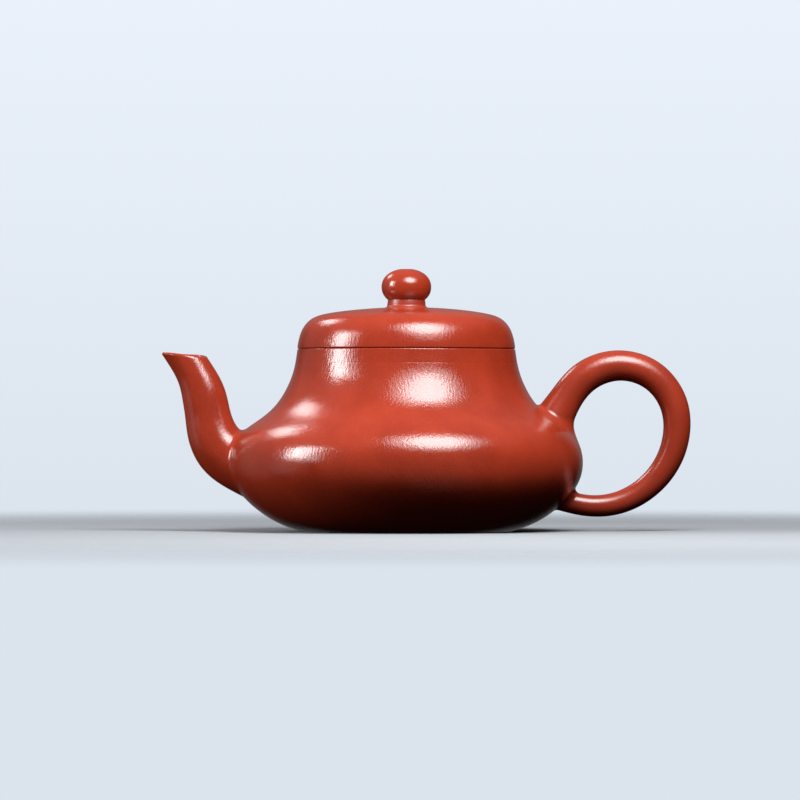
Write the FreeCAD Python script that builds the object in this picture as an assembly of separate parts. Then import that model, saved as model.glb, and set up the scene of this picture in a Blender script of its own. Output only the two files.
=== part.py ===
import FreeCAD, Part

import math
import os

# A small burnished clay teapot: flattened round belly, wide flowing neck, flush lid with a ball knob,
# curved spout on the -X side and a round ear handle on the +X side.
# Millimetres, +Z up. The origin is on the body's axis, in the plane that the foot rests on.
# Each clay piece is made as the potter makes it, a slab, ring, tube or rod luted to its neighbours,
# so pieces of one body meet face to face.

# Body
FOOT_RING_INNER_R = 25.2
BODY_WALL = 2.8
# Outer outline from the foot ring, round the belly and up the neck to the seam: (radius, height)
BODY_OUTLINE = [
    (27.6, 0.0),
    (33.4, 1.95),
    (39.2, 5.45),
    (43.7, 9.75),
    (46.25, 14.1),
    (46.9, 17.8),
    (46.1, 22.5),
    (43.3, 26.5),
    (38.6, 30.0),
    (34.5, 33.75),
    (31.8, 38.0),
    (30.05, 42.3),
    (28.9, 48.35),
]
FOOT_SLOPE = (0.97, 0.242)
NECK_SLOPE = (-0.13, 0.99)
SHOULDER_JOINT_Z = 23.0
NECK_JOINT_Z = 34.2
MOUTH_RING_Z = 44.6
SEAM_Z = BODY_OUTLINE[-1][1]
MOUTH_BORE_R = 24.3
SEAM_EDGE_R = 0.3

# Base slab, pressed in so that the pot stands on its ring
BASE_EDGE_Z = 0.6
BASE_PRESS = 0.9

# Spout: centre line and outer radius, (x, z, radius), from inside the belly to past the lip
SPOUT_PATH = [
    (-37.2, 16.3, 9.1),
    (-42.7, 18.3, 8.5),
    (-48.3, 21.1, 7.45),
    (-51.4, 25.7, 6.7),
    (-52.75, 31.0, 6.05),
    (-53.9, 36.5, 5.8),
    (-56.0, 41.7, 5.1),
    (-59.4, 47.2, 4.7),
    (-62.6, 51.6, 4.5),
]
SPOUT_ROOT_WALL = 2.2
SPOUT_LIP_WALL = 1.1
LIP_TIP = (-64.7, 47.65)
LIP_BACK = (-53.3, 46.5)

# Ball strainer over the hole behind the spout
STRAINER_CENTRE = (-42.6, 0.0, 16.9)
STRAINER_R = 9.6
STRAINER_WALL = 1.5
STRAINER_HOLE_R = 0.9
STRAINER_RING_COUNTS = [1, 6, 12]
STRAINER_RING_STEP_DEG = 22.0

# Handle: centre line and radius of the tapered rod, (x, z, radius), upper root to lower root
HANDLE_PATH = [
    (36.6, 25.5, 6.0),
    (39.3, 30.0, 5.2),
    (41.9, 34.3, 4.5),
    (47.2, 40.7, 4.25),
    (56.2, 44.0, 4.1),
    (65.6, 41.2, 3.9),
    (71.0, 33.9, 3.75),
    (71.7, 25.2, 3.6),
    (66.4, 14.0, 3.3),
    (56.0, 7.5, 3.0),
    (47.5, 6.9, 2.85),
    (41.0, 8.4, 2.85),
]

# Lid
LID_WALL = 2.6
# Outer outline from the seam over the shoulder to the knob's collar: (radius, height)
LID_OUTLINE = [
    (28.9, SEAM_Z),
    (28.6, 50.7),
    (27.5, 53.9),
    (25.4, 56.3),
    (21.0, 57.9),
    (13.5, 58.9),
    (6.2, 59.35),
]
LID_EDGE_SLOPE = (0.0, 1.0)
LID_TOP_SLOPE = (-1.0, 0.03)
LID_PLATE_TOP_Z = 50.9
LID_PLATE_HOLE_R = 20.4
FLANGE_R = 24.0
FLANGE_WALL = 2.1
FLANGE_BOTTOM_Z = 39.6

# Knob: an oblate ball on a short waisted collar, with the lid's air hole down its axis
KNOB_R = 6.6
KNOB_HALF_HEIGHT = 4.9
KNOB_CENTRE_Z = 64.9
COLLAR_TOP_R = 4.85
COLLAR_WAIST_R = 4.7
COLLAR_FOOT_R = 6.2
COLLAR_FOOT_Z = LID_OUTLINE[-1][1]
COLLAR_WAIST_Z = 60.6
AIR_HOLE_R = 1.0

# Helpers' own sizes
BIG = 200.0
OFFSET_SAMPLES = 14
HEIGHT_TOLERANCE = 1e-6
# Share of a shallow arc's rise that it still has halfway from its middle to its end
RISE_AT_HALF = 0.75
AXIS = FreeCAD.Vector(0, 0, 1)
ORIGIN = FreeCAD.Vector(0, 0, 0)


def at(radius, height):
    """A point of a turned outline, in the XZ plane."""
    return FreeCAD.Vector(radius, 0, height)


def smooth_curve(points, start_slope=None, end_slope=None):
    """A spline through (radius, height) points, with optional end directions."""
    curve = Part.BSplineCurve()
    vectors = [at(*point) for point in points]
    if start_slope:
        curve.interpolate(Points=vectors, InitialTangent=at(*start_slope), FinalTangent=at(*end_slope))
    else:
        curve.interpolate(Points=vectors)
    return curve


def inner_curve(curve, wall):
    """The outline's inner side, one wall thickness towards the axis from the outer side."""
    first, last = curve.FirstParameter, curve.LastParameter
    points = []
    for step in range(OFFSET_SAMPLES + 1):
        where = first + (last - first) * step / OFFSET_SAMPLES
        direction = curve.tangent(where)[0]
        inward = FreeCAD.Vector(-direction.z, 0, direction.x)
        points.append(curve.value(where) + inward * wall)
    offset = Part.BSplineCurve()
    offset.interpolate(Points=points)
    return offset


def turned(edges):
    """The solid made by turning a closed outline of edges about the body's axis."""
    face = Part.Face(Part.Wire(Part.__sortEdges__(edges)))
    solid = face.revolve(ORIGIN, AXIS, 360)
    return Part.Solid(solid) if solid.ShapeType == "Shell" else solid


def closed_outline(points):
    """Straight edges through (radius, height) points and back to the first."""
    vectors = [at(*point) for point in points]
    pairs = zip(vectors, vectors[1:] + vectors[:1])
    return [Part.LineSegment(a, b).toShape() for a, b in pairs]


def ring(inner_r, outer_r, bottom, top):
    """A plain ring of rectangular section about the axis."""
    corners = [(inner_r, bottom), (outer_r, bottom), (outer_r, top), (inner_r, top)]
    return turned(closed_outline(corners))


def filled(curve):
    """Everything between a turned outline and the axis."""
    start = curve.value(curve.FirstParameter)
    end = curve.value(curve.LastParameter)
    foot = at(0, start.z)
    head = at(0, end.z)
    edges = [
        curve.toShape(),
        Part.LineSegment(foot, start).toShape(),
        Part.LineSegment(end, head).toShape(),
        Part.LineSegment(head, foot).toShape(),
    ]
    return turned(edges)


def slab_between(bottom, top):
    """A thick horizontal slab that keeps what lies between two heights."""
    corner = FreeCAD.Vector(-BIG / 2, -BIG / 2, bottom)
    return Part.makeBox(BIG, BIG, top - bottom, corner)


def round_section(centre, direction, radius):
    """A circle square to a direction in the XZ plane, with its seam on the same side all along a path."""
    across = FreeCAD.Vector(0, 1, 0)
    side = across.cross(direction)
    turn = FreeCAD.Rotation(side, across, direction, "ZXY")
    circle = Part.makeCircle(radius)
    circle.Placement = FreeCAD.Placement(centre, turn)
    return Part.Wire([circle])


def tapered_tube(path, wall_at_start=0.0, wall_at_end=0.0):
    """A round rod along a curved path of (x, z, radius); the walls make its radius smaller, for a bore."""
    line = smooth_curve([(x, z) for x, z, radius in path])
    sections = []
    for index, (x, z, radius) in enumerate(path):
        direction = line.tangent(line.parameter(at(x, z)))[0]
        wall = wall_at_start + (wall_at_end - wall_at_start) * index / (len(path) - 1)
        sections.append(round_section(at(x, z), direction, radius - wall))
    return Part.makeLoft(sections, True, False)


BODY_CURVE = smooth_curve(BODY_OUTLINE, FOOT_SLOPE, NECK_SLOPE)
BODY_INNER_CURVE = inner_curve(BODY_CURVE, BODY_WALL)
LID_CURVE = smooth_curve(LID_OUTLINE, LID_EDGE_SLOPE, LID_TOP_SLOPE)
LID_INNER_CURVE = inner_curve(LID_CURVE, LID_WALL)


def body_shell():
    """The whole pot wall, foot ring to seam, before it is parted into its slabs."""
    inner_foot = BODY_INNER_CURVE.value(BODY_INNER_CURVE.FirstParameter)
    inner_top = BODY_INNER_CURVE.value(BODY_INNER_CURVE.LastParameter)
    outer_foot = BODY_CURVE.value(BODY_CURVE.FirstParameter)
    outer_top = BODY_CURVE.value(BODY_CURVE.LastParameter)
    ring_foot = at(FOOT_RING_INNER_R, 0)
    ring_top = at(FOOT_RING_INNER_R, inner_foot.z)
    edges = [
        BODY_CURVE.toShape(),
        Part.LineSegment(outer_top, inner_top).toShape(),
        BODY_INNER_CURVE.toShape(),
        Part.LineSegment(inner_foot, ring_top).toShape(),
        Part.LineSegment(ring_top, ring_foot).toShape(),
        Part.LineSegment(ring_foot, outer_foot).toShape(),
    ]
    return turned(edges)


BODY_SHELL = body_shell()
BODY_FILLED = filled(BODY_CURVE)
BODY_INSIDE = filled(BODY_INNER_CURVE)
LID_FILLED = filled(LID_CURVE)
SPOUT_BORE = tapered_tube(SPOUT_PATH, SPOUT_ROOT_WALL, SPOUT_LIP_WALL)


def belly_wall():
    """The wall strip, beaten in towards the foot, with the lower part of the spout's hole."""
    return BODY_SHELL.common(slab_between(0, SHOULDER_JOINT_Z)).cut(SPOUT_BORE)


def shoulder_slab():
    """The slab that closes the belly in towards the neck, with the top of the spout's hole."""
    return BODY_SHELL.common(slab_between(SHOULDER_JOINT_Z, NECK_JOINT_Z)).cut(SPOUT_BORE)


def neck_wall():
    """The rolled neck slab between the shoulder and the mouth ring."""
    return BODY_SHELL.common(slab_between(NECK_JOINT_Z, MOUTH_RING_Z))


def mouth_ring():
    """The thick ring that makes the mouth and carries the lid, its top outer edge eased."""
    blank = BODY_FILLED.common(slab_between(MOUTH_RING_Z, SEAM_Z))
    bored = blank.cut(ring_plug(MOUTH_BORE_R, MOUTH_RING_Z, SEAM_Z))
    return ease_edge(bored, SEAM_Z)


def ring_plug(radius, bottom, top):
    """A plain cylinder about the axis, a little longer than the heights given."""
    margin = 1.0
    return Part.makeCylinder(radius, top - bottom + 2 * margin, at(0, bottom - margin))


def ease_edge(solid, height):
    """Rounds the outermost circular edge of a turned solid at one height."""
    circles = []
    for edge in solid.Edges:
        box = edge.BoundBox
        if max(abs(box.ZMin - height), abs(box.ZMax - height)) < HEIGHT_TOLERANCE:
            circles.append(edge)
    outermost = max(circles, key=lambda edge: edge.BoundBox.XMax)
    return solid.makeFillet(SEAM_EDGE_R, [outermost])


def base_disc():
    """The base slab inside the foot ring, pressed in so that only the ring touches the table."""
    inner_foot_z = BODY_INNER_CURVE.value(BODY_INNER_CURVE.FirstParameter).z
    edge = FOOT_RING_INNER_R
    half = edge / 2
    rise = BASE_PRESS * RISE_AT_HALF
    under = Part.Arc(at(0, BASE_EDGE_Z + BASE_PRESS), at(half, BASE_EDGE_Z + rise), at(edge, BASE_EDGE_Z))
    over = Part.Arc(at(0, inner_foot_z + BASE_PRESS), at(half, inner_foot_z + rise), at(edge, inner_foot_z))
    edges = [
        under.toShape(),
        over.toShape(),
        Part.LineSegment(at(edge, BASE_EDGE_Z), at(edge, inner_foot_z)).toShape(),
        Part.LineSegment(at(0, BASE_EDGE_Z + BASE_PRESS), at(0, inner_foot_z + BASE_PRESS)).toShape(),
    ]
    return turned(edges)


def above_lip():
    """The space above the spout's lip, which slopes down a little towards the body."""
    tip_x, tip_z = LIP_TIP
    back_x, back_z = LIP_BACK
    slope = (tip_z - back_z) / (tip_x - back_x)
    left = -BIG
    corners = [
        at(left, tip_z + slope * (left - tip_x)),
        at(0, back_z + slope * (0 - back_x)),
        at(0, BIG),
        at(left, BIG),
    ]
    face = Part.Face(Part.makePolygon(corners + corners[:1]))
    face.translate(FreeCAD.Vector(0, -BIG / 2, 0))
    return face.extrude(FreeCAD.Vector(0, BIG, 0))


def spout():
    """The hollow spout: a tapered tube that meets the belly and is cut off level at its lip."""
    tube = tapered_tube(SPOUT_PATH)
    return tube.cut([above_lip(), BODY_FILLED, SPOUT_BORE])


def ball_strainer():
    """The pierced half ball luted inside the belly over the spout's hole."""
    centre = FreeCAD.Vector(*STRAINER_CENTRE)
    ball = Part.makeSphere(STRAINER_R, centre)
    hollow = Part.makeSphere(STRAINER_R - STRAINER_WALL, centre)
    cap = ball.cut(hollow).common(BODY_INSIDE)
    cap = max(cap.Solids, key=lambda solid: solid.Volume)
    drills = []
    inwards = FreeCAD.Vector(1, 0, 0)
    drill_start = inwards * (STRAINER_R - 2 * STRAINER_WALL)
    drill_length = 3 * STRAINER_WALL
    for ring_index, count in enumerate(STRAINER_RING_COUNTS):
        tilt = STRAINER_RING_STEP_DEG * ring_index
        for step in range(count):
            drill = Part.makeCylinder(STRAINER_HOLE_R, drill_length, drill_start, inwards)
            drill.rotate(ORIGIN, FreeCAD.Vector(0, 1, 0), tilt)
            drill.rotate(ORIGIN, FreeCAD.Vector(1, 0, 0), 360 * step / count)
            drill.translate(centre)
            drills.append(drill)
    return cap.cut(drills)


def handle():
    """The ear handle: a rod that tapers from the upper root to the lower one."""
    return tapered_tube(HANDLE_PATH).cut(BODY_FILLED)


def lid_crown():
    """The domed lid slab above the lid's plate, with the air hole through its middle."""
    dome = LID_FILLED.cut(filled(LID_INNER_CURVE))
    dome = dome.common(slab_between(LID_PLATE_TOP_Z, COLLAR_FOOT_Z))
    dome = max(dome.Solids, key=lambda solid: solid.Volume)
    return dome.cut(air_hole())


def lid_plate():
    """The flat ring that closes the dome's edge and rests on the mouth ring."""
    blank = LID_FILLED.common(slab_between(SEAM_Z, LID_PLATE_TOP_Z))
    plate = blank.cut(ring_plug(LID_PLATE_HOLE_R, SEAM_Z, LID_PLATE_TOP_Z))
    return ease_edge(plate, SEAM_Z)


def lid_flange():
    """The wall under the lid that keeps it centred in the mouth."""
    return ring(FLANGE_R - FLANGE_WALL, FLANGE_R, FLANGE_BOTTOM_Z, SEAM_Z)


def air_hole():
    """The hole down the knob's axis that lets air in while the pot pours."""
    bottom = COLLAR_FOOT_Z - 2 * LID_WALL
    return Part.makeCylinder(AIR_HOLE_R, KNOB_CENTRE_Z + 2 * KNOB_HALF_HEIGHT - bottom, at(0, bottom))


def collar_top_z():
    """The height at which the knob's ball has the collar's top radius, on its lower half."""
    return KNOB_CENTRE_Z - KNOB_HALF_HEIGHT * math.sqrt(1 - (COLLAR_TOP_R / KNOB_R) ** 2)


def knob_collar():
    """The short waisted collar between the lid and the knob."""
    top = at(COLLAR_TOP_R, collar_top_z())
    foot = at(COLLAR_FOOT_R, COLLAR_FOOT_Z)
    side = Part.Arc(foot, at(COLLAR_WAIST_R, COLLAR_WAIST_Z), top)
    edges = [
        side.toShape(),
        Part.LineSegment(top, at(0, top.z)).toShape(),
        Part.LineSegment(at(0, top.z), at(0, foot.z)).toShape(),
        Part.LineSegment(at(0, foot.z), foot).toShape(),
    ]
    return turned(edges).cut(air_hole())


def knob():
    """The oblate ball knob, flat where it sits on its collar."""
    ball = Part.makeSphere(KNOB_R)
    squash = FreeCAD.Matrix()
    squash.scale(1, 1, KNOB_HALF_HEIGHT / KNOB_R)
    ball = ball.transformGeometry(squash)
    ball.translate(at(0, KNOB_CENTRE_Z))
    return ball.common(slab_between(collar_top_z(), BIG)).cut(air_hole())


PIECES = {
    "base_disc": base_disc,
    "belly_wall": belly_wall,
    "shoulder_slab": shoulder_slab,
    "neck_wall": neck_wall,
    "mouth_ring": mouth_ring,
    "spout": spout,
    "ball_strainer": ball_strainer,
    "handle": handle,
    "lid_crown": lid_crown,
    "lid_plate": lid_plate,
    "lid_flange": lid_flange,
    "knob_collar": knob_collar,
    "knob": knob,
}


def one_solid(shape):
    """The single solid in a boolean's result."""
    solids = shape.Solids
    if len(solids) != 1:
        raise ValueError(f"expected one solid, got {len(solids)}")
    return solids[0]


os.makedirs("parts", exist_ok=True)
for name, make in PIECES.items():
    piece = one_solid(make())
    piece.exportStep(f"parts/{name}.step")
    print(f"{name}: {piece.Volume / 1000:.2f} cm3, valid {piece.isValid()}")
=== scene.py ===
import math

import bmesh
import bpy
import numpy as np
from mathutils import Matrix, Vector, noise

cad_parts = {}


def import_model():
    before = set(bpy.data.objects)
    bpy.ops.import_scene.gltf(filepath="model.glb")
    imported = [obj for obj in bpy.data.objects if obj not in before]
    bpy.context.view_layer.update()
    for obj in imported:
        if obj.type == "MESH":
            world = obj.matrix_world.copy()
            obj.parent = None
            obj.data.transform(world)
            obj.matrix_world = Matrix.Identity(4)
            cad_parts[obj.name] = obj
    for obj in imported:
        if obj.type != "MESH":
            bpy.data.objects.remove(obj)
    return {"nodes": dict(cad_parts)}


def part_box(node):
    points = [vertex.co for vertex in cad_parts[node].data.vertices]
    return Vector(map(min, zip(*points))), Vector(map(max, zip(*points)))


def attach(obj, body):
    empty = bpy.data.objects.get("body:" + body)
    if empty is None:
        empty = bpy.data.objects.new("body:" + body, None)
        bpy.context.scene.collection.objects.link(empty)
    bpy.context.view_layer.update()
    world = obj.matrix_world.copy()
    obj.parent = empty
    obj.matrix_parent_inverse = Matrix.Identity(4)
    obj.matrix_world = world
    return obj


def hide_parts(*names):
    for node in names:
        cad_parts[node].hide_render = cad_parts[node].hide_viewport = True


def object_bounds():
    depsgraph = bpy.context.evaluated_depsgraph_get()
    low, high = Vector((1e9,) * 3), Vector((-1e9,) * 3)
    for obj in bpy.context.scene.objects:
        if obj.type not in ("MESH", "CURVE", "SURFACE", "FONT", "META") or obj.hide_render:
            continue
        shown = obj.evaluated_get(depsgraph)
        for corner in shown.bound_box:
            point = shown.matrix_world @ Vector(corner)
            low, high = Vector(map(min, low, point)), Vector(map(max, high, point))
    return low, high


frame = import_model()
CAD_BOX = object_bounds()
MM = 0.001

# ---------------------------------------------------------------- sizes
# Outer outline of the body, foot ring to lid seam, in millimetres of (radius, height), with its end slopes
BODY_OUTLINE = [
    (27.6, 0.0),
    (33.4, 1.95),
    (39.2, 5.45),
    (43.7, 9.75),
    (46.25, 14.1),
    (46.9, 17.8),
    (46.1, 22.5),
    (43.3, 26.5),
    (38.6, 30.0),
    (34.5, 33.75),
    (31.8, 38.0),
    (30.05, 42.3),
    (28.9, 48.35),
]
FOOT_SLOPE = (0.97, 0.242)
NECK_SLOPE = (-0.13, 0.99)
BODY_WALL = 2.8

# Outer outline of the lid, seam to the knob's collar
LID_OUTLINE = [
    (28.9, 48.35),
    (28.6, 50.7),
    (27.5, 53.9),
    (25.4, 56.3),
    (21.0, 57.9),
    (13.5, 58.9),
    (6.2, 59.35),
]
LID_EDGE_SLOPE = (0.0, 1.0)
LID_TOP_SLOPE = (-1.0, 0.03)
LID_WALL = 2.6

# Spout: centre line and outer radius, (x, z, radius), belly to past the lip
SPOUT_PATH = [
    (-37.2, 16.3, 9.1),
    (-42.7, 18.3, 8.5),
    (-48.3, 21.1, 7.45),
    (-51.4, 25.7, 6.7),
    (-52.75, 31.0, 6.05),
    (-53.9, 36.5, 5.8),
    (-56.0, 41.7, 5.1),
    (-59.4, 47.2, 4.7),
    (-62.6, 51.6, 4.5),
]
SPOUT_ROOT_WALL = 2.2
SPOUT_LIP_WALL = 1.1
LIP_TIP = (-64.7, 47.65)
LIP_BACK = (-53.3, 46.5)

# Handle: centre line and radius of the rod, upper root to lower root
HANDLE_PATH = [
    (36.6, 25.5, 6.0),
    (39.3, 30.0, 5.2),
    (41.9, 34.3, 4.5),
    (47.2, 40.7, 4.25),
    (56.2, 44.0, 4.1),
    (65.6, 41.2, 3.9),
    (71.0, 33.9, 3.75),
    (71.7, 25.2, 3.6),
    (66.4, 14.0, 3.3),
    (56.0, 7.5, 3.0),
    (47.5, 6.9, 2.85),
    (41.0, 8.4, 2.85),
]

# Depth, size and seed of the hand-made unevenness. The pieces made here share it, so they still touch
WOBBLE = 0.09
WOBBLE_SIZE = 13.0
WOBBLE_SEED = 1

# How finely things are divided: steps round the axis or round a rod, and rows along an outline
LATHE_STEPS = 320
SMALL_LATHE_STEPS = 192
BASE_LATHE_STEPS = 128
HANDLE_STEPS = 96
SPOUT_STEPS = 128
HOLE_STEPS = 64
SEARCH_ROWS = 4000
BODY_TABLE_ROWS = 3000
TUBE_ROWS = 900
WALL_ROWS = 600
WALL_STRIDE = 6
ROW_GAP = 0.35
END_ROWS = (0.015, 0.08)

# Faces that meet at more than this many degrees keep a hard edge between them
SHARP_ANGLE = 40.0


# ---------------------------------------------------------------- curves
class Spline:
    """A cubic spline by chord length through points of any dimension, with optional end directions."""

    def __init__(self, points, start=None, end=None):
        self.p = np.array(points, float)
        gaps = np.hypot(*np.diff(self.p[:, :2], axis=0).T)
        self.t = np.concatenate([[0.0], np.cumsum(gaps)])
        self.length = self.t[-1]
        self.m = self._slopes(start, end)

    def _slopes(self, start, end):
        """First derivatives at the points, from the usual tridiagonal system."""
        n = len(self.p)
        gap = np.diff(self.t)
        rate = np.diff(self.p, axis=0) / gap[:, None]
        system = np.zeros((n, n))
        right = np.zeros_like(self.p)
        for i in range(1, n - 1):
            system[i, i - 1] = gap[i]
            system[i, i] = 2 * (gap[i - 1] + gap[i])
            system[i, i + 1] = gap[i - 1]
            right[i] = 3 * (gap[i] * rate[i - 1] + gap[i - 1] * rate[i])
        system[0, 0] = 1.0
        system[-1, -1] = 1.0
        if start is None:
            system[0, 1] = 0.5
            right[0] = 1.5 * rate[0]
        else:
            right[0] = start
        if end is None:
            system[-1, -2] = 0.5
            right[-1] = 1.5 * rate[-1]
        else:
            right[-1] = end
        return np.linalg.solve(system, right)

    def at(self, t):
        """Points at arc positions t."""
        t = np.atleast_1d(np.asarray(t, float))
        i = np.clip(np.searchsorted(self.t, t, side="right") - 1, 0, len(self.t) - 2)
        gap = (self.t[i + 1] - self.t[i])[:, None]
        s = (t - self.t[i])[:, None] / gap
        a = (1 + 2 * s) * (1 - s) ** 2 * self.p[i]
        b = s * (1 - s) ** 2 * gap * self.m[i]
        c = s * s * (3 - 2 * s) * self.p[i + 1]
        d = s * s * (s - 1) * gap * self.m[i + 1]
        return a + b + c + d

    def even(self, count, first=None, last=None):
        """Points at even arc positions between two positions."""
        first = 0.0 if first is None else first
        last = self.length if last is None else last
        return self.at(np.linspace(first, last, count))

    def where(self, column, value):
        """The arc position at which a coordinate has a value, if that coordinate only rises or falls."""
        t = np.linspace(0, self.length, SEARCH_ROWS)
        v = self.at(t)[:, column]
        order = np.argsort(v)
        return float(np.interp(value, v[order], t[order]))


BODY = Spline(BODY_OUTLINE, FOOT_SLOPE, NECK_SLOPE)
LID = Spline(LID_OUTLINE, LID_EDGE_SLOPE, LID_TOP_SLOPE)


def offset_inwards(points, wall):
    """A turned outline moved towards the axis side by a wall's thickness."""
    direction = np.gradient(points, axis=0)
    direction /= np.linalg.norm(direction, axis=1)[:, None]
    inward = np.stack([-direction[:, 1], direction[:, 0]], axis=1)
    return points + inward * wall


def corner_arc(centre, radius, start_deg, end_deg, count=5):
    """Points on a small arc in the outline's plane."""
    angles = np.radians(np.linspace(start_deg, end_deg, count))
    return np.stack([centre[0] + radius * np.cos(angles), centre[1] + radius * np.sin(angles)], axis=1)


# ---------------------------------------------------------------- meshes
# Without a seed the noise starts from the clock and differs from run to run
noise.seed_set(WOBBLE_SEED)


def wobble(points):
    """The shared unevenness of hand-made clay, as a smooth shift of every point, in millimetres."""
    shift = [noise.noise_vector(Vector(p / WOBBLE_SIZE)) for p in points.reshape(-1, 3)]
    return points + WOBBLE * np.array(shift).reshape(points.shape)


def make_piece(name, points, faces, body, nodes, material):
    """A mesh piece from points in millimetres, riding on a CAD body in place of CAD nodes."""
    mesh = bpy.data.meshes.new(name)
    mesh.from_pydata([tuple(p) for p in wobble(points) * MM], [], faces)
    shape = bmesh.new()
    shape.from_mesh(mesh)
    bmesh.ops.recalc_face_normals(shape, faces=shape.faces)
    shape.to_mesh(mesh)
    shape.free()
    mesh.polygons.foreach_set("use_smooth", [True] * len(mesh.polygons))
    mesh.set_sharp_from_angle(angle=math.radians(SHARP_ANGLE))
    mesh.materials.append(material)
    piece = bpy.data.objects.new(name, mesh)
    bpy.context.scene.collection.objects.link(piece)
    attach(piece, body)
    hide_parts(*nodes)
    return piece


def grid_faces(rows, steps, closed_rows=False):
    """Quads over a grid of rows that each close on themselves."""
    faces = []
    for row in range(rows if closed_rows else rows - 1):
        low = row * steps
        high = (row + 1) % rows * steps
        for step in range(steps):
            after = (step + 1) % steps
            faces.append((low + step, low + after, high + after, high + step))
    return faces


def turned_grid(loop, steps=LATHE_STEPS):
    """A closed outline of (radius, height) turned about the axis, as points and faces."""
    angles = np.linspace(0, 2 * math.pi, steps, endpoint=False)
    radius, height = loop[:, 0], loop[:, 1]
    x = radius[:, None] * np.cos(angles)
    y = radius[:, None] * np.sin(angles)
    z = np.repeat(height[:, None], steps, axis=1)
    points = np.stack([x, y, z], axis=2).reshape(-1, 3)
    return points, grid_faces(len(loop), steps, closed_rows=True)


def close_to_ends(first, last, close=END_ROWS):
    """Arc positions with rows packed close to both ends, so that shading runs on across a joint."""
    count = max(3, int(round((last - first) / ROW_GAP)) + 1)
    inner = np.linspace(first, last, count)[1:-1]
    near = [first + c for c in close]
    far = [last - c for c in reversed(close)]
    middle = [t for t in inner if first + 2 * close[-1] < t < last - 2 * close[-1]]
    return np.array([first, *near, *middle, *far, last])


def between(spline, low_z, high_z, close=END_ROWS):
    """The stretch of a turned outline between two heights."""
    return spline.at(close_to_ends(spline.where(1, low_z), spline.where(1, high_z), close))


def inner_between(spline, wall, low_z, high_z):
    """The wall's inner side between two heights, from low to high."""
    whole = offset_inwards(spline.even(WALL_ROWS), wall)
    inside = whole[(whole[:, 1] > low_z) & (whole[:, 1] < high_z)][::WALL_STRIDE]
    ends = [(np.interp(z, whole[:, 1], whole[:, 0]), z) for z in (low_z, high_z)]
    return np.vstack([ends[0], inside, ends[1]])


# ---------------------------------------------------------------- clay
# Linear colours of the fired clay. Sizes and depths are in millimetres; stops and ranges are noise values
CLAY_DARK = (0.195, 0.0185, 0.0070)
CLAY_LIGHT = (0.235, 0.0240, 0.0095)
CLAY_SPECK = (0.32, 0.065, 0.026)
MOTTLE_SIZE = 9.0
MOTTLE_STOPS = (0.32, 0.68)
SPECK_SIZE = 0.45
SPECK_RANGE = (0.68, 0.78)
SPECK_SHARE = 0.35
POLISH_SIZE = 3.5
POLISH_RANGE = (0.3, 0.7)
POLISH_STRETCH = 3.0
RIPPLE_SIZE = 2.6
RIPPLE_DEPTH = 0.02
STROKE_SIZE = 0.52
STROKE_STRETCH = 4.5
GRAIN_SIZE = 0.42
CLAY_SPECULAR = 0.5


def mapped_noise(nodes, links, where, size, detail=3.0, stretch=1.0):
    """Noise with features of a given size in millimetres, drawn out along the height if asked."""
    mapping = nodes.new("ShaderNodeMapping")
    mapping.inputs["Scale"].default_value = (1.0, 1.0, 1.0 / stretch)
    links.new(where, mapping.inputs["Vector"])
    texture = nodes.new("ShaderNodeTexNoise")
    texture.inputs["Scale"].default_value = 1.0 / (size * MM)
    texture.inputs["Detail"].default_value = detail
    links.new(mapping.outputs["Vector"], texture.inputs["Vector"])
    return texture.outputs["Fac"]


def ramp(nodes, links, value, stops):
    """A colour ramp over a value; stops are (position, colour)."""
    made = nodes.new("ShaderNodeValToRGB")
    elements = made.color_ramp.elements
    while len(elements) < len(stops):
        elements.new(0.5)
    for element, (position, colour) in zip(elements, stops):
        element.position = position
        element.color = (*colour, 1.0)
    links.new(value, made.inputs["Fac"])
    return made.outputs["Color"]


def ranged(nodes, links, value, low, high, to_low, to_high):
    """A value carried from one range to another."""
    made = nodes.new("ShaderNodeMapRange")
    made.inputs["From Min"].default_value = low
    made.inputs["From Max"].default_value = high
    made.inputs["To Min"].default_value = to_low
    made.inputs["To Max"].default_value = to_high
    links.new(value, made.inputs["Value"])
    return made.outputs["Result"]


def bump(nodes, links, height, depth, below=None):
    """A bump of a given depth in millimetres, laid over another bump."""
    made = nodes.new("ShaderNodeBump")
    made.inputs["Strength"].default_value = 1.0
    made.inputs["Distance"].default_value = depth * MM
    links.new(height, made.inputs["Height"])
    if below is not None:
        links.new(below, made.inputs["Normal"])
    return made.outputs["Normal"]


def soft_edge(nodes, links, value, dark, bright):
    """A share that goes smoothly from 0 at one value to 1 at another."""
    made = nodes.new("ShaderNodeMapRange")
    made.interpolation_type = "SMOOTHSTEP"
    made.inputs["From Min"].default_value = dark
    made.inputs["From Max"].default_value = bright
    links.new(value, made.inputs["Value"])
    return made.outputs["Result"]


def combined(nodes, links, operation, first, second):
    """Two values, or a value and a number, put together by a math operation."""
    made = nodes.new("ShaderNodeMath")
    made.operation = operation
    links.new(first, made.inputs[0])
    if isinstance(second, float):
        made.inputs[1].default_value = second
    else:
        links.new(second, made.inputs[1])
    return made.outputs["Value"]


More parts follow.
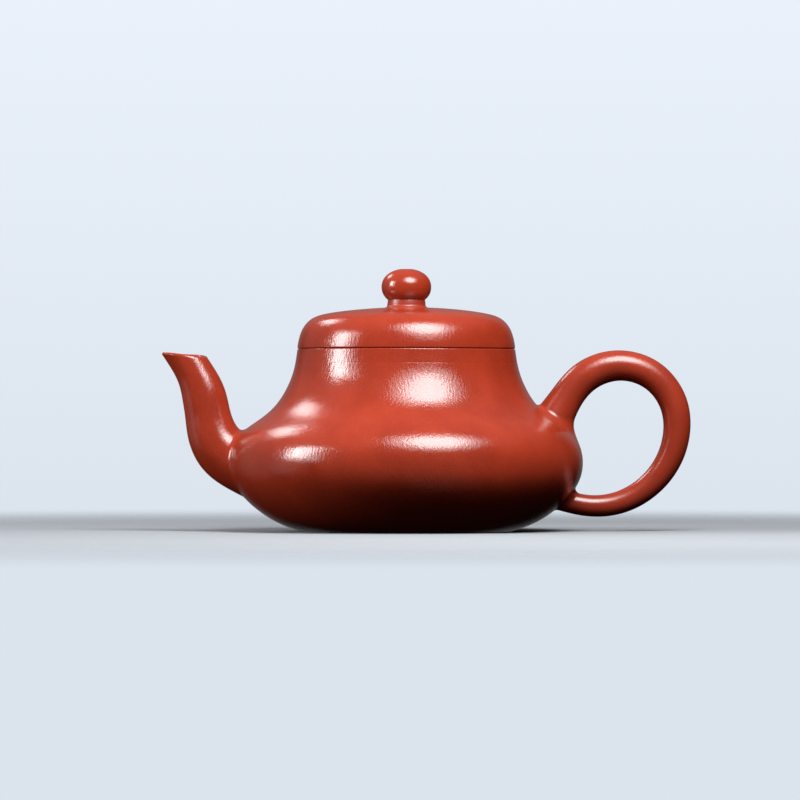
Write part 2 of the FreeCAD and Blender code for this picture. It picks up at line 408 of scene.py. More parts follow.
def clay(name, smooth, rough, grain_depth, stroke_depth, ior):
    """Fired red clay: mottled colour, sandy specks, and burnishing strokes that run up and down.

    Its roughness wanders between smooth and rough; the depths are in millimetres.
    """
    material = bpy.data.materials.new(name)
    material.use_nodes = True
    nodes, links = material.node_tree.nodes, material.node_tree.links
    shader = nodes["Principled BSDF"]
    where = nodes.new("ShaderNodeTexCoord").outputs["Object"]

    mottle = mapped_noise(nodes, links, where, MOTTLE_SIZE, detail=4.0)
    base = ramp(nodes, links, mottle, list(zip(MOTTLE_STOPS, (CLAY_DARK, CLAY_LIGHT))))
    specks = mapped_noise(nodes, links, where, SPECK_SIZE, detail=1.0)
    speck_share = ranged(nodes, links, specks, *SPECK_RANGE, 0.0, SPECK_SHARE)
    mixed = nodes.new("ShaderNodeMix")
    mixed.data_type = "RGBA"
    mixed.inputs["B"].default_value = (*CLAY_SPECK, 1.0)
    links.new(speck_share, mixed.inputs["Factor"])
    links.new(base, mixed.inputs["A"])
    links.new(mixed.outputs["Result"], shader.inputs["Base Color"])

    polish = mapped_noise(nodes, links, where, POLISH_SIZE, stretch=POLISH_STRETCH)
    links.new(ranged(nodes, links, polish, *POLISH_RANGE, smooth, rough), shader.inputs["Roughness"])

    ripple = mapped_noise(nodes, links, where, RIPPLE_SIZE, detail=2.0)
    strokes = mapped_noise(nodes, links, where, STROKE_SIZE, detail=1.5, stretch=STROKE_STRETCH)
    grain = mapped_noise(nodes, links, where, GRAIN_SIZE, detail=1.5)
    normal = bump(nodes, links, ripple, RIPPLE_DEPTH)
    normal = bump(nodes, links, strokes, stroke_depth, normal)
    normal = bump(nodes, links, grain, grain_depth, normal)
    links.new(normal, shader.inputs["Normal"])

    shader.inputs["IOR"].default_value = ior
    shader.inputs["Specular IOR Level"].default_value = CLAY_SPECULAR
    return material


# Walls, lid and spout; handle; knob; collar, which the tool hardly reaches; and the pieces left raw
BURNISHED = clay("burnished_clay", 0.14, 0.2, 0.021, 0.048, 1.5)
RUBBED = clay("rubbed_clay", 0.2, 0.27, 0.012, 0.02, 1.5)
POLISHED = clay("polished_clay", 0.15, 0.19, 0.008, 0.012, 1.5)
DULL = clay("dull_clay", 0.3, 0.4, 0.02, 0.02, 1.5)
RAW = clay("raw_clay", 0.55, 0.7, 0.02, 0.01, 1.45)


# ---------------------------------------------------------------- turned pieces
# Heights and radii that come from the CAD pieces
FOOT_RING_INNER_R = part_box("base_disc")[1].x / MM
SHOULDER_JOINT_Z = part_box("shoulder_slab")[0].z / MM
NECK_JOINT_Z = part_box("neck_wall")[0].z / MM
MOUTH_RING_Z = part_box("mouth_ring")[0].z / MM
SEAM_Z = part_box("mouth_ring")[1].z / MM
PLATE_TOP_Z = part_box("lid_plate")[1].z / MM
FLANGE_BOTTOM_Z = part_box("lid_flange")[0].z / MM
FLANGE_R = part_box("lid_flange")[1].x / MM
COLLAR_FOOT_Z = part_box("knob_collar")[0].z / MM
COLLAR_TOP_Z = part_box("knob_collar")[1].z / MM
KNOB_TOP_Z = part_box("knob")[1].z / MM
KNOB_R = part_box("knob")[1].x / MM

# Openings and walls inside, and how far the middle of the base is pressed in
MOUTH_BORE_R = 24.3
PLATE_HOLE_R = 20.4
AIR_HOLE_R = 1.0
FLANGE_WALL = 2.1
FLANGE_EDGE = 0.5
FLANGE_ROWS = 12
BASE_PRESS = 0.9
BASE_PIN_R = 0.02
BASE_ROWS = 40

# The faint line where two slabs meet, and the rows that are close enough together to show it
JOINT_LINE_DEPTH = 0.02
JOINT_LINE_LENGTH = 0.45
LINE_ROWS = (0.03, 0.09, 0.16, 0.25, 0.36, 0.47)

# The seam between the mouth ring and the lid: eased edges with a narrow slit cut back between them
MOUTH_EDGE = 0.3
LID_EDGE = 0.22
SLIT = 0.16
SLIT_DEPTH = 0.38
SLIT_SLOPE = 0.1
CROWN_STRIDE = 8

# The collar runs a little way into the lid and the knob; its side is (radius, height above its foot)
COLLAR_SINK = 0.06
COLLAR_RISE = 0.1
COLLAR_SIDE = [(6.9, -COLLAR_SINK), (5.6, 0.12), (5.15, 0.5), (5.05, 1.1)]
COLLAR_FOOT_SLOPE = (-1.0, 0.02)
COLLAR_TOP_R = 4.85
COLLAR_ROWS = 36

# The knob is a little fuller than an ellipse, between a lowest and a highest angle seen from its centre
KNOB_SQUARENESS = 2.15
KNOB_LOWEST = -0.26 * math.pi
KNOB_HIGHEST = 0.475 * math.pi
KNOB_ROWS = 110

# The softened rim of the knob's air hole: (radius past the hole's own, depth under the ball's last row)
HOLE_RIM = [(0.25, 0.02), (0.06, 0.16), (0.0, 0.4)]
HOLE_RIM_GAP = 0.15


def turned_piece(name, loop, body, material=BURNISHED, steps=LATHE_STEPS):
    """A turned piece that replaces the CAD node of the same name."""
    points, faces = turned_grid(np.array(loop), steps)
    return make_piece(name + "_clay", points, faces, body, [name], material)


def base_disc():
    """The pressed-in base slab. A pin-point hole on the axis keeps its rows even."""
    low_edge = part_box("base_disc")[0].z / MM
    high_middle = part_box("base_disc")[1].z / MM
    radii = np.linspace(BASE_PIN_R, FOOT_RING_INNER_R, BASE_ROWS)
    rise = BASE_PRESS * (1 - (radii / FOOT_RING_INNER_R) ** 2)
    under = np.stack([radii, low_edge + rise], axis=1)
    over = np.stack([radii, high_middle - BASE_PRESS + rise], axis=1)
    turned_piece("base_disc", np.vstack([under, over[::-1]]), "pot", RAW, BASE_LATHE_STEPS)


def belly_wall():
    outer = between(BODY, 0.0, SHOULDER_JOINT_Z)
    inner_foot_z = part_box("base_disc")[1].z / MM - BASE_PRESS
    inner = inner_between(BODY, BODY_WALL, inner_foot_z, SHOULDER_JOINT_Z)
    foot = [(FOOT_RING_INNER_R, inner_foot_z), (FOOT_RING_INNER_R, 0.0)]
    return turned_piece("belly_wall", np.vstack([outer, inner[::-1], foot]), "pot")


def shoulder_slab():
    outer = between(BODY, SHOULDER_JOINT_Z, NECK_JOINT_Z)
    inner = inner_between(BODY, BODY_WALL, SHOULDER_JOINT_Z, NECK_JOINT_Z)
    return turned_piece("shoulder_slab", np.vstack([outer, inner[::-1]]), "pot")


def ease(outline):
    """Draws the last stretch of an outline in towards the axis, for the faint line where two slabs meet."""
    from_end = np.linalg.norm(outline - outline[-1], axis=1)
    pull = JOINT_LINE_DEPTH * np.clip(1 - from_end / JOINT_LINE_LENGTH, 0, 1) ** 2
    eased = outline.copy()
    eased[:, 0] -= pull
    return eased


def neck_wall():
    outer = ease(between(BODY, NECK_JOINT_Z, MOUTH_RING_Z, LINE_ROWS))
    inner = inner_between(BODY, BODY_WALL, NECK_JOINT_Z, MOUTH_RING_Z)
    turned_piece("neck_wall", np.vstack([outer, inner[::-1]]), "pot")


def mouth_ring():
    """The ring under the lid, with its top edges eased."""
    outer = between(BODY, MOUTH_RING_Z, SEAM_Z - MOUTH_EDGE, LINE_ROWS)
    outer = ease(outer[::-1])[::-1]
    edge_z = SEAM_Z - MOUTH_EDGE
    edge = corner_arc((outer[-1, 0] - MOUTH_EDGE, edge_z), MOUTH_EDGE, 15, 90, count=6)
    bore_edge = corner_arc((MOUTH_BORE_R + MOUTH_EDGE, edge_z), MOUTH_EDGE, 90, 180, count=6)
    bore = [(MOUTH_BORE_R, MOUTH_RING_Z + MOUTH_EDGE), (MOUTH_BORE_R + MOUTH_EDGE, MOUTH_RING_Z)]
    turned_piece("mouth_ring", np.vstack([outer, edge, bore_edge, bore]), "pot")


def lid_plate():
    """The flat ring of the lid, relieved under its outer edge so that a dark line shows at the seam."""
    edge_z = SEAM_Z + SLIT + LID_EDGE
    outer = between(LID, edge_z, PLATE_TOP_Z)
    edge = corner_arc((outer[0, 0] - LID_EDGE, edge_z), LID_EDGE, -90, -10)
    slit_r = outer[0, 0] - SLIT_DEPTH
    slit = [(slit_r, SEAM_Z), (slit_r + SLIT_SLOPE, SEAM_Z + SLIT)]
    inner = [(PLATE_HOLE_R, PLATE_TOP_Z), (PLATE_HOLE_R, SEAM_Z)]
    turned_piece("lid_plate", np.vstack([slit, edge, outer, inner]), "lid")


def lid_crown():
    outer = LID.at(close_to_ends(LID.where(1, PLATE_TOP_Z), LID.length))
    whole = offset_inwards(LID.even(WALL_ROWS), LID_WALL)
    inner = whole[whole[:, 1] > PLATE_TOP_Z][::CROWN_STRIDE]
    foot = [(np.interp(PLATE_TOP_Z, whole[:, 1], whole[:, 0]), PLATE_TOP_Z)]
    top_z = outer[-1, 1]
    hole = [(AIR_HOLE_R, top_z), (AIR_HOLE_R, inner[-1, 1])]
    turned_piece("lid_crown", np.vstack([outer, hole, inner[::-1], foot]), "lid")


def lid_flange():
    inner_r = FLANGE_R - FLANGE_WALL
    edge_z = FLANGE_BOTTOM_Z + FLANGE_EDGE
    foot_out = corner_arc((FLANGE_R - FLANGE_EDGE, edge_z), FLANGE_EDGE, -90, 0)
    foot_in = corner_arc((inner_r + FLANGE_EDGE, edge_z), FLANGE_EDGE, 180, 270)
    walls = np.linspace(edge_z + FLANGE_EDGE, SEAM_Z, FLANGE_ROWS)
    outer = np.stack([np.full(FLANGE_ROWS, FLANGE_R), walls], axis=1)
    inner = np.stack([np.full(FLANGE_ROWS, inner_r), walls[::-1]], axis=1)
    turned_piece("lid_flange", np.vstack([foot_out, outer, inner, foot_in]), "lid", RAW)


def knob_collar():
    """The short waisted collar, which runs out onto the lid at its foot."""
    high_z = COLLAR_TOP_Z + COLLAR_RISE
    points = [(radius, COLLAR_FOOT_Z + height) for radius, height in COLLAR_SIDE]
    side = Spline([*points, (COLLAR_TOP_R, high_z)], COLLAR_FOOT_SLOPE)
    hole = [(AIR_HOLE_R, high_z), (AIR_HOLE_R, COLLAR_FOOT_Z - COLLAR_SINK)]
    loop = np.vstack([side.even(COLLAR_ROWS), hole])
    turned_piece("knob_collar", loop, "lid", DULL, steps=SMALL_LATHE_STEPS)


def knob():
    """The oblate ball, sunk into the collar to the collar's radius, with the air hole down its middle."""
    height_seen = KNOB_TOP_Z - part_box("knob")[0].z / MM
    lift = math.sqrt(1 - (COLLAR_TOP_R / KNOB_R) ** 2)
    half_height = height_seen / (1 + lift)
    centre_z = KNOB_TOP_Z - half_height
    power = 2 / KNOB_SQUARENESS
    angles = np.linspace(KNOB_LOWEST, KNOB_HIGHEST, KNOB_ROWS)
    radius = KNOB_R * np.cos(angles) ** power
    height = centre_z + half_height * np.sign(angles) * np.abs(np.sin(angles)) ** power
    ball = np.stack([radius, height], axis=1)
    ball = ball[ball[:, 0] > AIR_HOLE_R + HOLE_RIM[0][0] + HOLE_RIM_GAP]
    rim = [(AIR_HOLE_R + past, ball[-1, 1] - depth) for past, depth in HOLE_RIM]
    loop = np.vstack([ball, rim, [(AIR_HOLE_R, ball[0, 1])]])
    turned_piece("knob", loop, "lid", POLISHED, steps=SMALL_LATHE_STEPS)


# ---------------------------------------------------------------- spout and handle
BODY_TABLE = BODY.even(BODY_TABLE_ROWS)
BODY_ARC = np.linspace(0, BODY.length, BODY_TABLE_ROWS)

# Short steps along a curve that its direction is taken from
SLOPE_STEP = 0.01
TANGENT_STEP = 0.05

# Rods and tubes run on past their ends, and the spout widens towards its root
RUN_ON = 6.0
FLARE_LENGTH = 12.0
SPOUT_FLARE = 0.45

# A root's rows: a skirt that dives into the wall, then a fillet with a faint crease across it
SKIRT_ROWS = 9
SKIRT_LENGTH = 1.0
SKIRT_LIFT = 0.015
SKIRT_DIVE = 0.05
SKIRT_DEPTH = 0.5
FILLET_ROWS = 30
FILLET_PULL = 1.1
CREASE_WIDTH = 0.05

# Rows along the rod from each root to its middle, along the spout's skin, its bore and its lip
UPPER_ROD_ROWS = 150
LOWER_ROD_ROWS = 190
SKIN_ROWS = 170
BORE_ROWS = 110
LIP_ROWS = 8

# How far the lip is rounded over, and how strongly its back is cut down on the near side
LIP_ROUND = 0.6
LIP_TILT = 0.13

# The hole behind the spout: how far past the bore, how far along the spout, and every so many rows
HOLE_CLEARANCE = 0.6
HOLE_REACH = 8.0
HOLE_STRIDE = 12


def body_radius(z):
    """The body's outer radius at a height."""
    return np.interp(z, BODY_TABLE[:, 1], BODY_TABLE[:, 0])


def on_body(arc, azimuth):
    """Points of the body's outer surface, with the directions up the outline, round it, and outwards."""
    here = BODY.at(arc)
    ahead = BODY.at(np.clip(arc + SLOPE_STEP, 0, BODY.length))
    behind = BODY.at(np.clip(arc - SLOPE_STEP, 0, BODY.length))
    slope = ahead - behind
    slope /= np.linalg.norm(slope, axis=1)[:, None]
    cos, sin = np.cos(azimuth), np.sin(azimuth)
    point = np.stack([here[:, 0] * cos, here[:, 0] * sin, here[:, 1]], axis=1)
    up = np.stack([slope[:, 0] * cos, slope[:, 0] * sin, slope[:, 1]], axis=1)
    around = np.stack([-sin, cos, np.zeros_like(cos)], axis=1)
    out = np.stack([slope[:, 1] * cos, slope[:, 1] * sin, -slope[:, 0]], axis=1)
    return point, up, around, out


def tube_lines(path, steps, wall=(0.0, 0.0), flare=0.0):
    """Points [row, step] on a round tapered tube, run on straight past its two ends.

    Step 0 is on the outer side of the tube's first bend. A wall narrows the tube by one thickness at its
    first end and another at its last. A flare widens it sideways towards its first end.
    """
    line = Spline(path)
    t = np.linspace(-RUN_ON, line.length + RUN_ON, TUBE_ROWS)
    held = np.clip(t, 0, line.length)
    centre = line.at(held) + (t - held)[:, None] * np.where(t[:, None] < 0, line.m[0], line.m[-1])
    tangent = np.gradient(centre[:, :2], axis=0)
    tangent /= np.linalg.norm(tangent, axis=1)[:, None]
    radius = centre[:, 2] - np.interp(t, [0, line.length], wall)
    angle = np.linspace(0, 2 * math.pi, steps, endpoint=False)
    side = np.stack([-tangent[:, 1], tangent[:, 0]], axis=1)
    x = centre[:, None, 0] + radius[:, None] * np.cos(angle) * side[:, None, 0]
    z = centre[:, None, 1] + radius[:, None] * np.cos(angle) * side[:, None, 1]
    widened = np.clip(1 - t / FLARE_LENGTH, 0, 1)
    across = radius * (1 + flare * widened**2 * (3 - 2 * widened))
    y = across[:, None] * np.sin(angle)
    return np.stack([x, y, z], axis=2)


def arc_positions(line):
    """How far along a polyline each of its points lies."""
    return np.concatenate([[0.0], np.cumsum(np.linalg.norm(np.diff(line, axis=0), axis=1))])


def along(line, arc, wanted):
    """Points of a polyline at wanted arc positions."""
    return np.stack([np.interp(wanted, arc, line[:, k]) for k in range(3)], axis=1)


def by_side(steps, outer, flank, inner, inner_power=2):
    """A size that differs between the tube's outer side, its two flanks and its inner side."""
    cos = np.cos(np.linspace(0, 2 * math.pi, steps, endpoint=False))
    to_outer = np.clip(cos, 0, 1) ** 2
    to_inner = np.clip(-cos, 0, 1) ** inner_power
    return flank + (outer - flank) * to_outer + (inner - flank) * to_inner


def last_inside(height):
    """The last row in the first half of a line at which it is still below a surface."""
    inside = np.nonzero(height < 0)[0]
    return inside[inside < len(height) * 0.5].max()


def tube_normal(lines, row, step):
    """The outward direction of a tube's surface at one of its points."""
    steps = lines.shape[1]
    centre = (lines[row, 0] + lines[row, steps // 2]) / 2
    outward = lines[row, step] - centre
    return outward / np.linalg.norm(outward)


def root_rows(lines, on_tube, on_wall, crease, crease_at):
    """Rows that carry a tube's end smoothly onto the body: a skirt sunk in the wall, then a fillet.

    lines[row, step] start inside the body. on_tube and on_wall say how far the fillet reaches along each.
    Returns the rows and the arc position on each line where they end.
    """
    steps = lines.shape[1]
    angle = np.linspace(0, 2 * math.pi, steps, endpoint=False)
    flank = np.abs(np.sin(angle)) ** 3
    rows = np.zeros((SKIRT_ROWS + FILLET_ROWS, steps, 3))
    starts = np.zeros(steps)
    for step in range(steps):
        line = lines[:, step]
        arc = arc_positions(line)
        height = np.hypot(line[:, 0], line[:, 1]) - body_radius(line[:, 2])
        last = last_inside(height)
        share = height[last] / (height[last] - height[last + 1])
        cross_arc = arc[last] + share * (arc[last + 1] - arc[last])
        cross = along(line, arc, [cross_arc])[0]
        starts[step] = cross_arc + on_tube[step]
        leave, before = along(line, arc, [starts[step], starts[step] - TANGENT_STEP])
        back = (before - leave) / np.linalg.norm(before - leave)

        body_arc = np.array([np.interp(cross[2], BODY_TABLE[:, 1], BODY_ARC)])
        azimuth = np.array([math.atan2(cross[1], cross[0])])
        point, up, around, out = (v[0] for v in on_body(body_arc, azimuth))
        tube_out = tube_normal(lines, last, step)
        away = tube_out - out * tube_out.dot(out)
        away /= np.linalg.norm(away)
        rise, turn = away.dot(up), away.dot(around) / np.hypot(cross[0], cross[1])

        past = np.linspace(SKIRT_LENGTH, 0, SKIRT_ROWS + 1)
        reach = on_wall[step] + past
        skirt, ups, arounds, outs = on_body(body_arc + rise * reach, azimuth + turn * reach)
        proud = SKIRT_LIFT - SKIRT_DIVE * past - SKIRT_DEPTH * past**5
        skirt = skirt + outs * proud[:, None]
        land = skirt[-1]
        run_in = -(rise * ups[-1] + away.dot(around) * arounds[-1])
        run_in /= np.linalg.norm(run_in)

        s = np.linspace(0, 1, FILLET_ROWS)[:, None]
        pull = FILLET_PULL * np.linalg.norm(leave - land)
        fillet = (1 + 2 * s) * (1 - s) ** 2 * land + s * (1 - s) ** 2 * pull * run_in
        fillet = fillet + s * s * (3 - 2 * s) * leave + s * s * (s - 1) * pull * -back
        inward = -(out + tube_out) / np.linalg.norm(out + tube_out)
        dip = crease * flank[step] * np.exp(-(((s - crease_at) / CREASE_WIDTH) ** 2))
        rows[:SKIRT_ROWS, step] = skirt[:-1]
        rows[SKIRT_ROWS:, step] = fillet + dip * inward
    return rows, starts


def resample(lines, starts, ends, count):
    """Each line from its own start to its own end, in the same number of even rows."""
    out = np.zeros((count, lines.shape[1], 3))
    for step in range(lines.shape[1]):
        arc = arc_positions(lines[:, step])
        out[:, step] = along(lines[:, step], arc, np.linspace(starts[step], ends[step], count))
    return out


def whole_lengths(lines):
    """The full length of each line."""
    return [arc_positions(lines[:, step])[-1] for step in range(lines.shape[1])]


def tube_faces(rows, steps):
    """Faces of a tube's grid, closed at both ends with a fan to one more point each."""
    faces = grid_faces(rows, steps)
    first, last = rows * steps, rows * steps + 1
    for step in range(steps):
        after = (step + 1) % steps
        faces.append((first, after, step))
        faces.append((last, (rows - 1) * steps + step, (rows - 1) * steps + after))
    return faces


def handle():
    """The ear: a tapered rod whose two ends run out onto the belly."""
    steps = HANDLE_STEPS
    lines = tube_lines(HANDLE_PATH, steps)
    middle = len(lines) // 2
    upper, lower = lines[: middle + 1], lines[middle:][::-1]
    upper_rows, upper_start = root_rows(
        upper,
        on_tube=by_side(steps, outer=1.2, flank=2.0, inner=4.2),
        on_wall=by_side(steps, outer=1.0, flank=3.6, inner=6.0),
        crease=0.12,
        crease_at=0.5,
    )
    lower_rows, lower_start = root_rows(
        lower,
        on_tube=by_side(steps, outer=1.0, flank=1.9, inner=2.0),
        on_wall=by_side(steps, outer=0.8, flank=1.8, inner=1.5),
        crease=0.08,
        crease_at=0.5,
    )
    upper_rod = resample(upper, upper_start, whole_lengths(upper), UPPER_ROD_ROWS)[1:]
    lower_rod = resample(lower, lower_start, whole_lengths(lower), LOWER_ROD_ROWS)[1:-1]
    grid = np.concatenate([upper_rows, upper_rod, lower_rod[::-1], lower_rows[::-1]])
    caps = [grid[0].mean(axis=0), grid[-1].mean(axis=0)]
    points = np.vstack([grid.reshape(-1, 3), caps])
    faces = tube_faces(len(grid), steps)
    make_piece("handle_clay", points, faces, "pot", ["handle"], RUBBED)


def lip_height(points):
    """How far points lie above the lip.

    It slopes down to the body and, at its back, a little to the near side.
    """
    along_lip = (points[..., 0] - LIP_TIP[0]) / (LIP_BACK[0] - LIP_TIP[0])
    level = LIP_TIP[1] + (LIP_BACK[1] - LIP_TIP[1]) * along_lip
    return points[..., 2] - level - LIP_TILT * np.clip(along_lip, 0, 1) ** 3 * points[..., 1]


def lip_ends(lines, below):
    """The arc position on each line at which it comes to a given distance below the lip."""
    ends = []
    for step in range(lines.shape[1]):
        line = lines[:, step]
        arc = arc_positions(line)
        height = lip_height(line) + below
        over = np.nonzero(height > 0)[0].min()
        share = height[over - 1] / (height[over - 1] - height[over])
        ends.append(arc[over - 1] + share * (arc[over] - arc[over - 1]))
    return ends


def spout():
    """The hollow spout: outer skin up to a softened lip, then down the bore to the belly's inner side."""
    steps = SPOUT_STEPS
    outer = tube_lines(SPOUT_PATH, steps, flare=SPOUT_FLARE)
    bore = tube_lines(SPOUT_PATH, steps, (SPOUT_ROOT_WALL, SPOUT_LIP_WALL))
    root, starts = root_rows(
        outer,
        on_tube=by_side(steps, outer=0.5, flank=1.5, inner=1.6, inner_power=4),
        on_wall=by_side(steps, outer=0.5, flank=4.2, inner=1.2, inner_power=6),
        crease=0.14,
        crease_at=0.3,
    )
    skin = resample(outer, starts, lip_ends(outer, LIP_ROUND), SKIN_ROWS)[1:]

    bore_bottom = []
    for step in range(steps):
        line = bore[:, step]
        depth = np.hypot(line[:, 0], line[:, 1]) - (body_radius(line[:, 2]) - BODY_WALL)
        bore_bottom.append(arc_positions(line)[last_inside(depth)])
    channel = resample(bore, bore_bottom, lip_ends(bore, LIP_ROUND), BORE_ROWS)[::-1]

    lip = []
    for row in range(1, LIP_ROWS):
        s = row / LIP_ROWS
        rise = math.sqrt(max(0.0, 1 - (2 * s - 1) ** 2))
        edge = (1 - s) * skin[-1] + s * channel[0]
        edge[:, 2] += rise * LIP_ROUND
        lip.append(edge)
    grid = np.concatenate([root, skin, np.array(lip), channel])
    points = grid.reshape(-1, 3)
    faces = grid_faces(len(grid), steps, closed_rows=True)
    make_piece("spout_clay", points, faces, "pot", ["spout"], BURNISHED)


def cut_spout_hole(*walls):
    """Opens the wall behind the spout's root, a little wider than the spout's bore."""
    wall_left = SPOUT_ROOT_WALL - HOLE_CLEARANCE
    lines = tube_lines(SPOUT_PATH, HOLE_STEPS, (wall_left, wall_left))
    arc = arc_positions(lines[:, 0])
    rod = lines[arc < RUN_ON + HOLE_REACH][::HOLE_STRIDE]
    caps = [rod[0].mean(axis=0), rod[-1].mean(axis=0)]
    points = np.vstack([rod.reshape(-1, 3), caps])
    mesh = bpy.data.meshes.new("spout_hole")
    mesh.from_pydata([tuple(p) for p in wobble(points) * MM], [], tube_faces(len(rod), HOLE_STEPS))
    cutter = bpy.data.objects.new("spout_hole", mesh)
    bpy.context.scene.collection.objects.link(cutter)
    for wall in walls:
        cut = wall.modifiers.new("spout_hole", "BOOLEAN")
        cut.operation = "DIFFERENCE"
        cut.solver = "EXACT"
        cut.object = cutter
        opened = bpy.data.meshes.new_from_object(wall.evaluated_get(bpy.context.evaluated_depsgraph_get()))
        wall.modifiers.remove(cut)
        wall.data = opened
    bpy.data.objects.remove(cutter)


# ---------------------------------------------------------------- build
base_disc()
belly = belly_wall()
shoulder = shoulder_slab()
cut_spout_hole(belly, shoulder)
neck_wall()
mouth_ring()
spout()
handle()
lid_plate()
lid_crown()
lid_flange()
knob_collar()
knob()

# The strainer keeps its CAD shape
strainer = frame["nodes"]["ball_strainer"]
strainer.data.materials.clear()
strainer.data.materials.append(RAW)


# ---------------------------------------------------------------- floor, light and camera
POT_HEIGHT = CAD_BOX[1].z - CAD_BOX[0].z
POT_LENGTH = CAD_BOX[1].x - CAD_BOX[0].x

# Floor: radius, the radii between which it fades out, and its matte paint
FLOOR_R = 0.8
FLOOR_FADE = (0.10, 0.42)
FLOOR_SEGMENTS = 256
FLOOR_COLOUR = (0.24, 0.255, 0.275)
FLOOR_ROUGHNESS = 0.8
FLOOR_SPECULAR = 0.1

# Camera: distance and sideways aim in metres, heights in pot heights, picture width in pot lengths
CAMERA_DISTANCE = 1.6
CAMERA_AIM_X = -0.00167
CAMERA_AIM_HEIGHT = 0.5
CAMERA_HEIGHT = 0.43
PICTURE_WIDTH = 1.506
SENSOR_WIDTH = 36.0
CLIP_START = 0.1
CLIP_END = 20.0

# Lamps: (name, shape, azimuth, elevation, distance, (width, height), watts), in degrees and metres
LAMPS = [
    ("key", "ELLIPSE", 25, 51, 0.3, (0.175, 0.18), 1.5),
    ("key_skirt", "ELLIPSE", 25, 51, 0.3, (0.29, 0.28), 1.0),
    ("left_window", "RECTANGLE", -75, 20, 0.6, (0.165, 0.24), 2.1),
    ("left_skirt", "RECTANGLE", -70, 20, 0.6, (0.26, 0.34), 1.6),
    ("back_left", "RECTANGLE", -133, 41, 0.6, (0.19, 0.13), 0.62),
]

# What the clay sees round it: (azimuth, elevation, full within, none beyond, level), angles in degrees
SURROUNDINGS = [
    (0, 90, 25, 70, 0.237),  # ceiling
    (180, 14, 16, 36, 0.18),  # back wall
    (-105, 20, 22, 48, 0.22),  # left wall
    (0, 20, 30, 70, 0.09),  # room behind the camera
    (-86, -6, 4, 17, 0.4),  # small bright patch low on the left
    (28, -42, 6, 30, 0.068),  # light that the table sends up
]
WORLD_DARK = 0.002

# What the camera sees behind the pot: (share of the way from straight down to straight up, colour)
BACKDROP = [(0.49, (0.71, 0.77, 0.85)), (0.55, (0.86, 0.92, 1.0))]


def floor():
    """A round pale table top under the pot that fades out into the surroundings."""
    mesh = bpy.data.meshes.new("floor")
    shape = bmesh.new()
    bmesh.ops.create_circle(shape, cap_ends=True, radius=FLOOR_R, segments=FLOOR_SEGMENTS)
    shape.to_mesh(mesh)
    shape.free()
    paint = bpy.data.materials.new("floor_paint")
    paint.use_nodes = True
    nodes, links = paint.node_tree.nodes, paint.node_tree.links
    shader = nodes["Principled BSDF"]
    shader.inputs["Base Color"].default_value = (*FLOOR_COLOUR, 1.0)
    shader.inputs["Roughness"].default_value = FLOOR_ROUGHNESS
    shader.inputs["Specular IOR Level"].default_value = FLOOR_SPECULAR
    where = nodes.new("ShaderNodeTexCoord").outputs["Object"]
    reach = nodes.new("ShaderNodeVectorMath")
    reach.operation = "LENGTH"
    links.new(where, reach.inputs[0])
    faded = soft_edge(nodes, links, reach.outputs["Value"], *FLOOR_FADE)
    clear = nodes.new("ShaderNodeBsdfTransparent")
    mix = nodes.new("ShaderNodeMixShader")
    links.new(faded, mix.inputs["Fac"])
    links.new(shader.outputs["BSDF"], mix.inputs[1])
    links.new(clear.outputs["BSDF"], mix.inputs[2])
    links.new(mix.outputs["Shader"], nodes["Material Output"].inputs["Surface"])
    mesh.materials.append(paint)
    top = bpy.data.objects.new("floor", mesh)
    bpy.context.scene.collection.objects.link(top)
    # The clay doesn't see the floor: the surroundings hold the light that a table would send up
    top.visible_diffuse = False
    top.visible_glossy = False


def direction(azimuth, elevation):
    """The way from the pot to something round it. Azimuth 0 is behind the camera; it grows to the right."""
    a, e = math.radians(azimuth), math.radians(elevation)
    return Vector((math.sin(a) * math.cos(e), -math.cos(a) * math.cos(e), math.sin(e)))


def softbox(name, shape, azimuth, elevation, distance, size, watts):
    """A soft light aimed at the middle of the pot."""
    light = bpy.data.lights.new(name, "AREA")
    light.shape = shape
    light.size, light.size_y = size
    light.energy = watts
    lamp = bpy.data.objects.new(name, light)
    bpy.context.scene.collection.objects.link(lamp)
    back = direction(azimuth, elevation)
    lamp.location = Vector((0.0, 0.0, 0.5 * POT_HEIGHT)) + back * distance
    lamp.rotation_mode = "QUATERNION"
    lamp.rotation_quaternion = back.to_track_quat("Z", "Y")


def patch(nodes, links, where, azimuth, elevation, full, none):
    """A share of 1 within an angle of a direction, fading to 0 at a wider angle."""
    made = nodes.new("ShaderNodeVectorMath")
    made.operation = "DOT_PRODUCT"
    made.inputs[1].default_value = direction(azimuth, elevation)
    links.new(where, made.inputs[0])
    dark, bright = math.cos(math.radians(none)), math.cos(math.radians(full))
    return soft_edge(nodes, links, made.outputs["Value"], dark, bright)


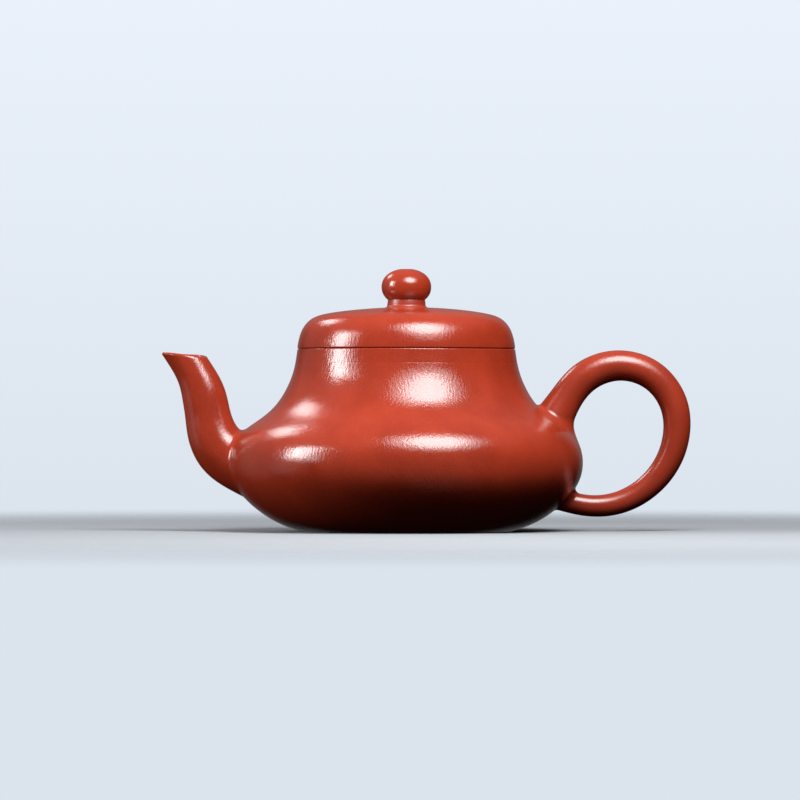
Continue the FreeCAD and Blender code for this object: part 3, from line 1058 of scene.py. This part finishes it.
def world():
    """A dim room with a bright ceiling, back wall and left wall; the camera sees a pale blue-white."""
    made = bpy.data.worlds.new("surroundings")
    bpy.context.scene.world = made
    made.use_nodes = True
    nodes, links = made.node_tree.nodes, made.node_tree.links
    nodes.clear()
    where = nodes.new("ShaderNodeTexCoord").outputs["Generated"]
    glow = None
    for azimuth, elevation, full, none, level in SURROUNDINGS:
        share = patch(nodes, links, where, azimuth, elevation, full, none)
        share = combined(nodes, links, "MULTIPLY", share, level)
        glow = share if glow is None else combined(nodes, links, "ADD", glow, share)
    glow = combined(nodes, links, "ADD", glow, WORLD_DARK)

    split = nodes.new("ShaderNodeSeparateXYZ")
    links.new(where, split.inputs["Vector"])
    height = ranged(nodes, links, split.outputs["Z"], -1.0, 1.0, 0.0, 1.0)
    shown = ramp(nodes, links, height, BACKDROP)
    lit = nodes.new("ShaderNodeBackground")
    seen = nodes.new("ShaderNodeBackground")
    links.new(glow, lit.inputs["Color"])
    links.new(shown, seen.inputs["Color"])
    ray = nodes.new("ShaderNodeLightPath")
    mix = nodes.new("ShaderNodeMixShader")
    links.new(ray.outputs["Is Camera Ray"], mix.inputs["Fac"])
    links.new(lit.outputs["Background"], mix.inputs[1])
    links.new(seen.outputs["Background"], mix.inputs[2])
    out = nodes.new("ShaderNodeOutputWorld")
    links.new(mix.outputs["Shader"], out.inputs["Surface"])


def camera():
    """A long lens almost level with the table, at the side of the pot."""
    data = bpy.data.cameras.new("camera")
    data.sensor_width = SENSOR_WIDTH
    data.lens = data.sensor_width * CAMERA_DISTANCE / (PICTURE_WIDTH * POT_LENGTH)
    data.clip_start = CLIP_START
    data.clip_end = CLIP_END
    lens = bpy.data.objects.new("camera", data)
    bpy.context.scene.collection.objects.link(lens)
    lens.location = (CAMERA_AIM_X, -CAMERA_DISTANCE, CAMERA_HEIGHT * POT_HEIGHT)
    lens.rotation_mode = "QUATERNION"
    sight = Vector((CAMERA_AIM_X, 0.0, CAMERA_AIM_HEIGHT * POT_HEIGHT)) - lens.location
    lens.rotation_quaternion = sight.to_track_quat("-Z", "Y")
    bpy.context.scene.camera = lens


camera()
floor()
for lamp_facts in LAMPS:
    softbox(*lamp_facts)
world()
bpy.context.scene.view_settings.view_transform = "Standard"
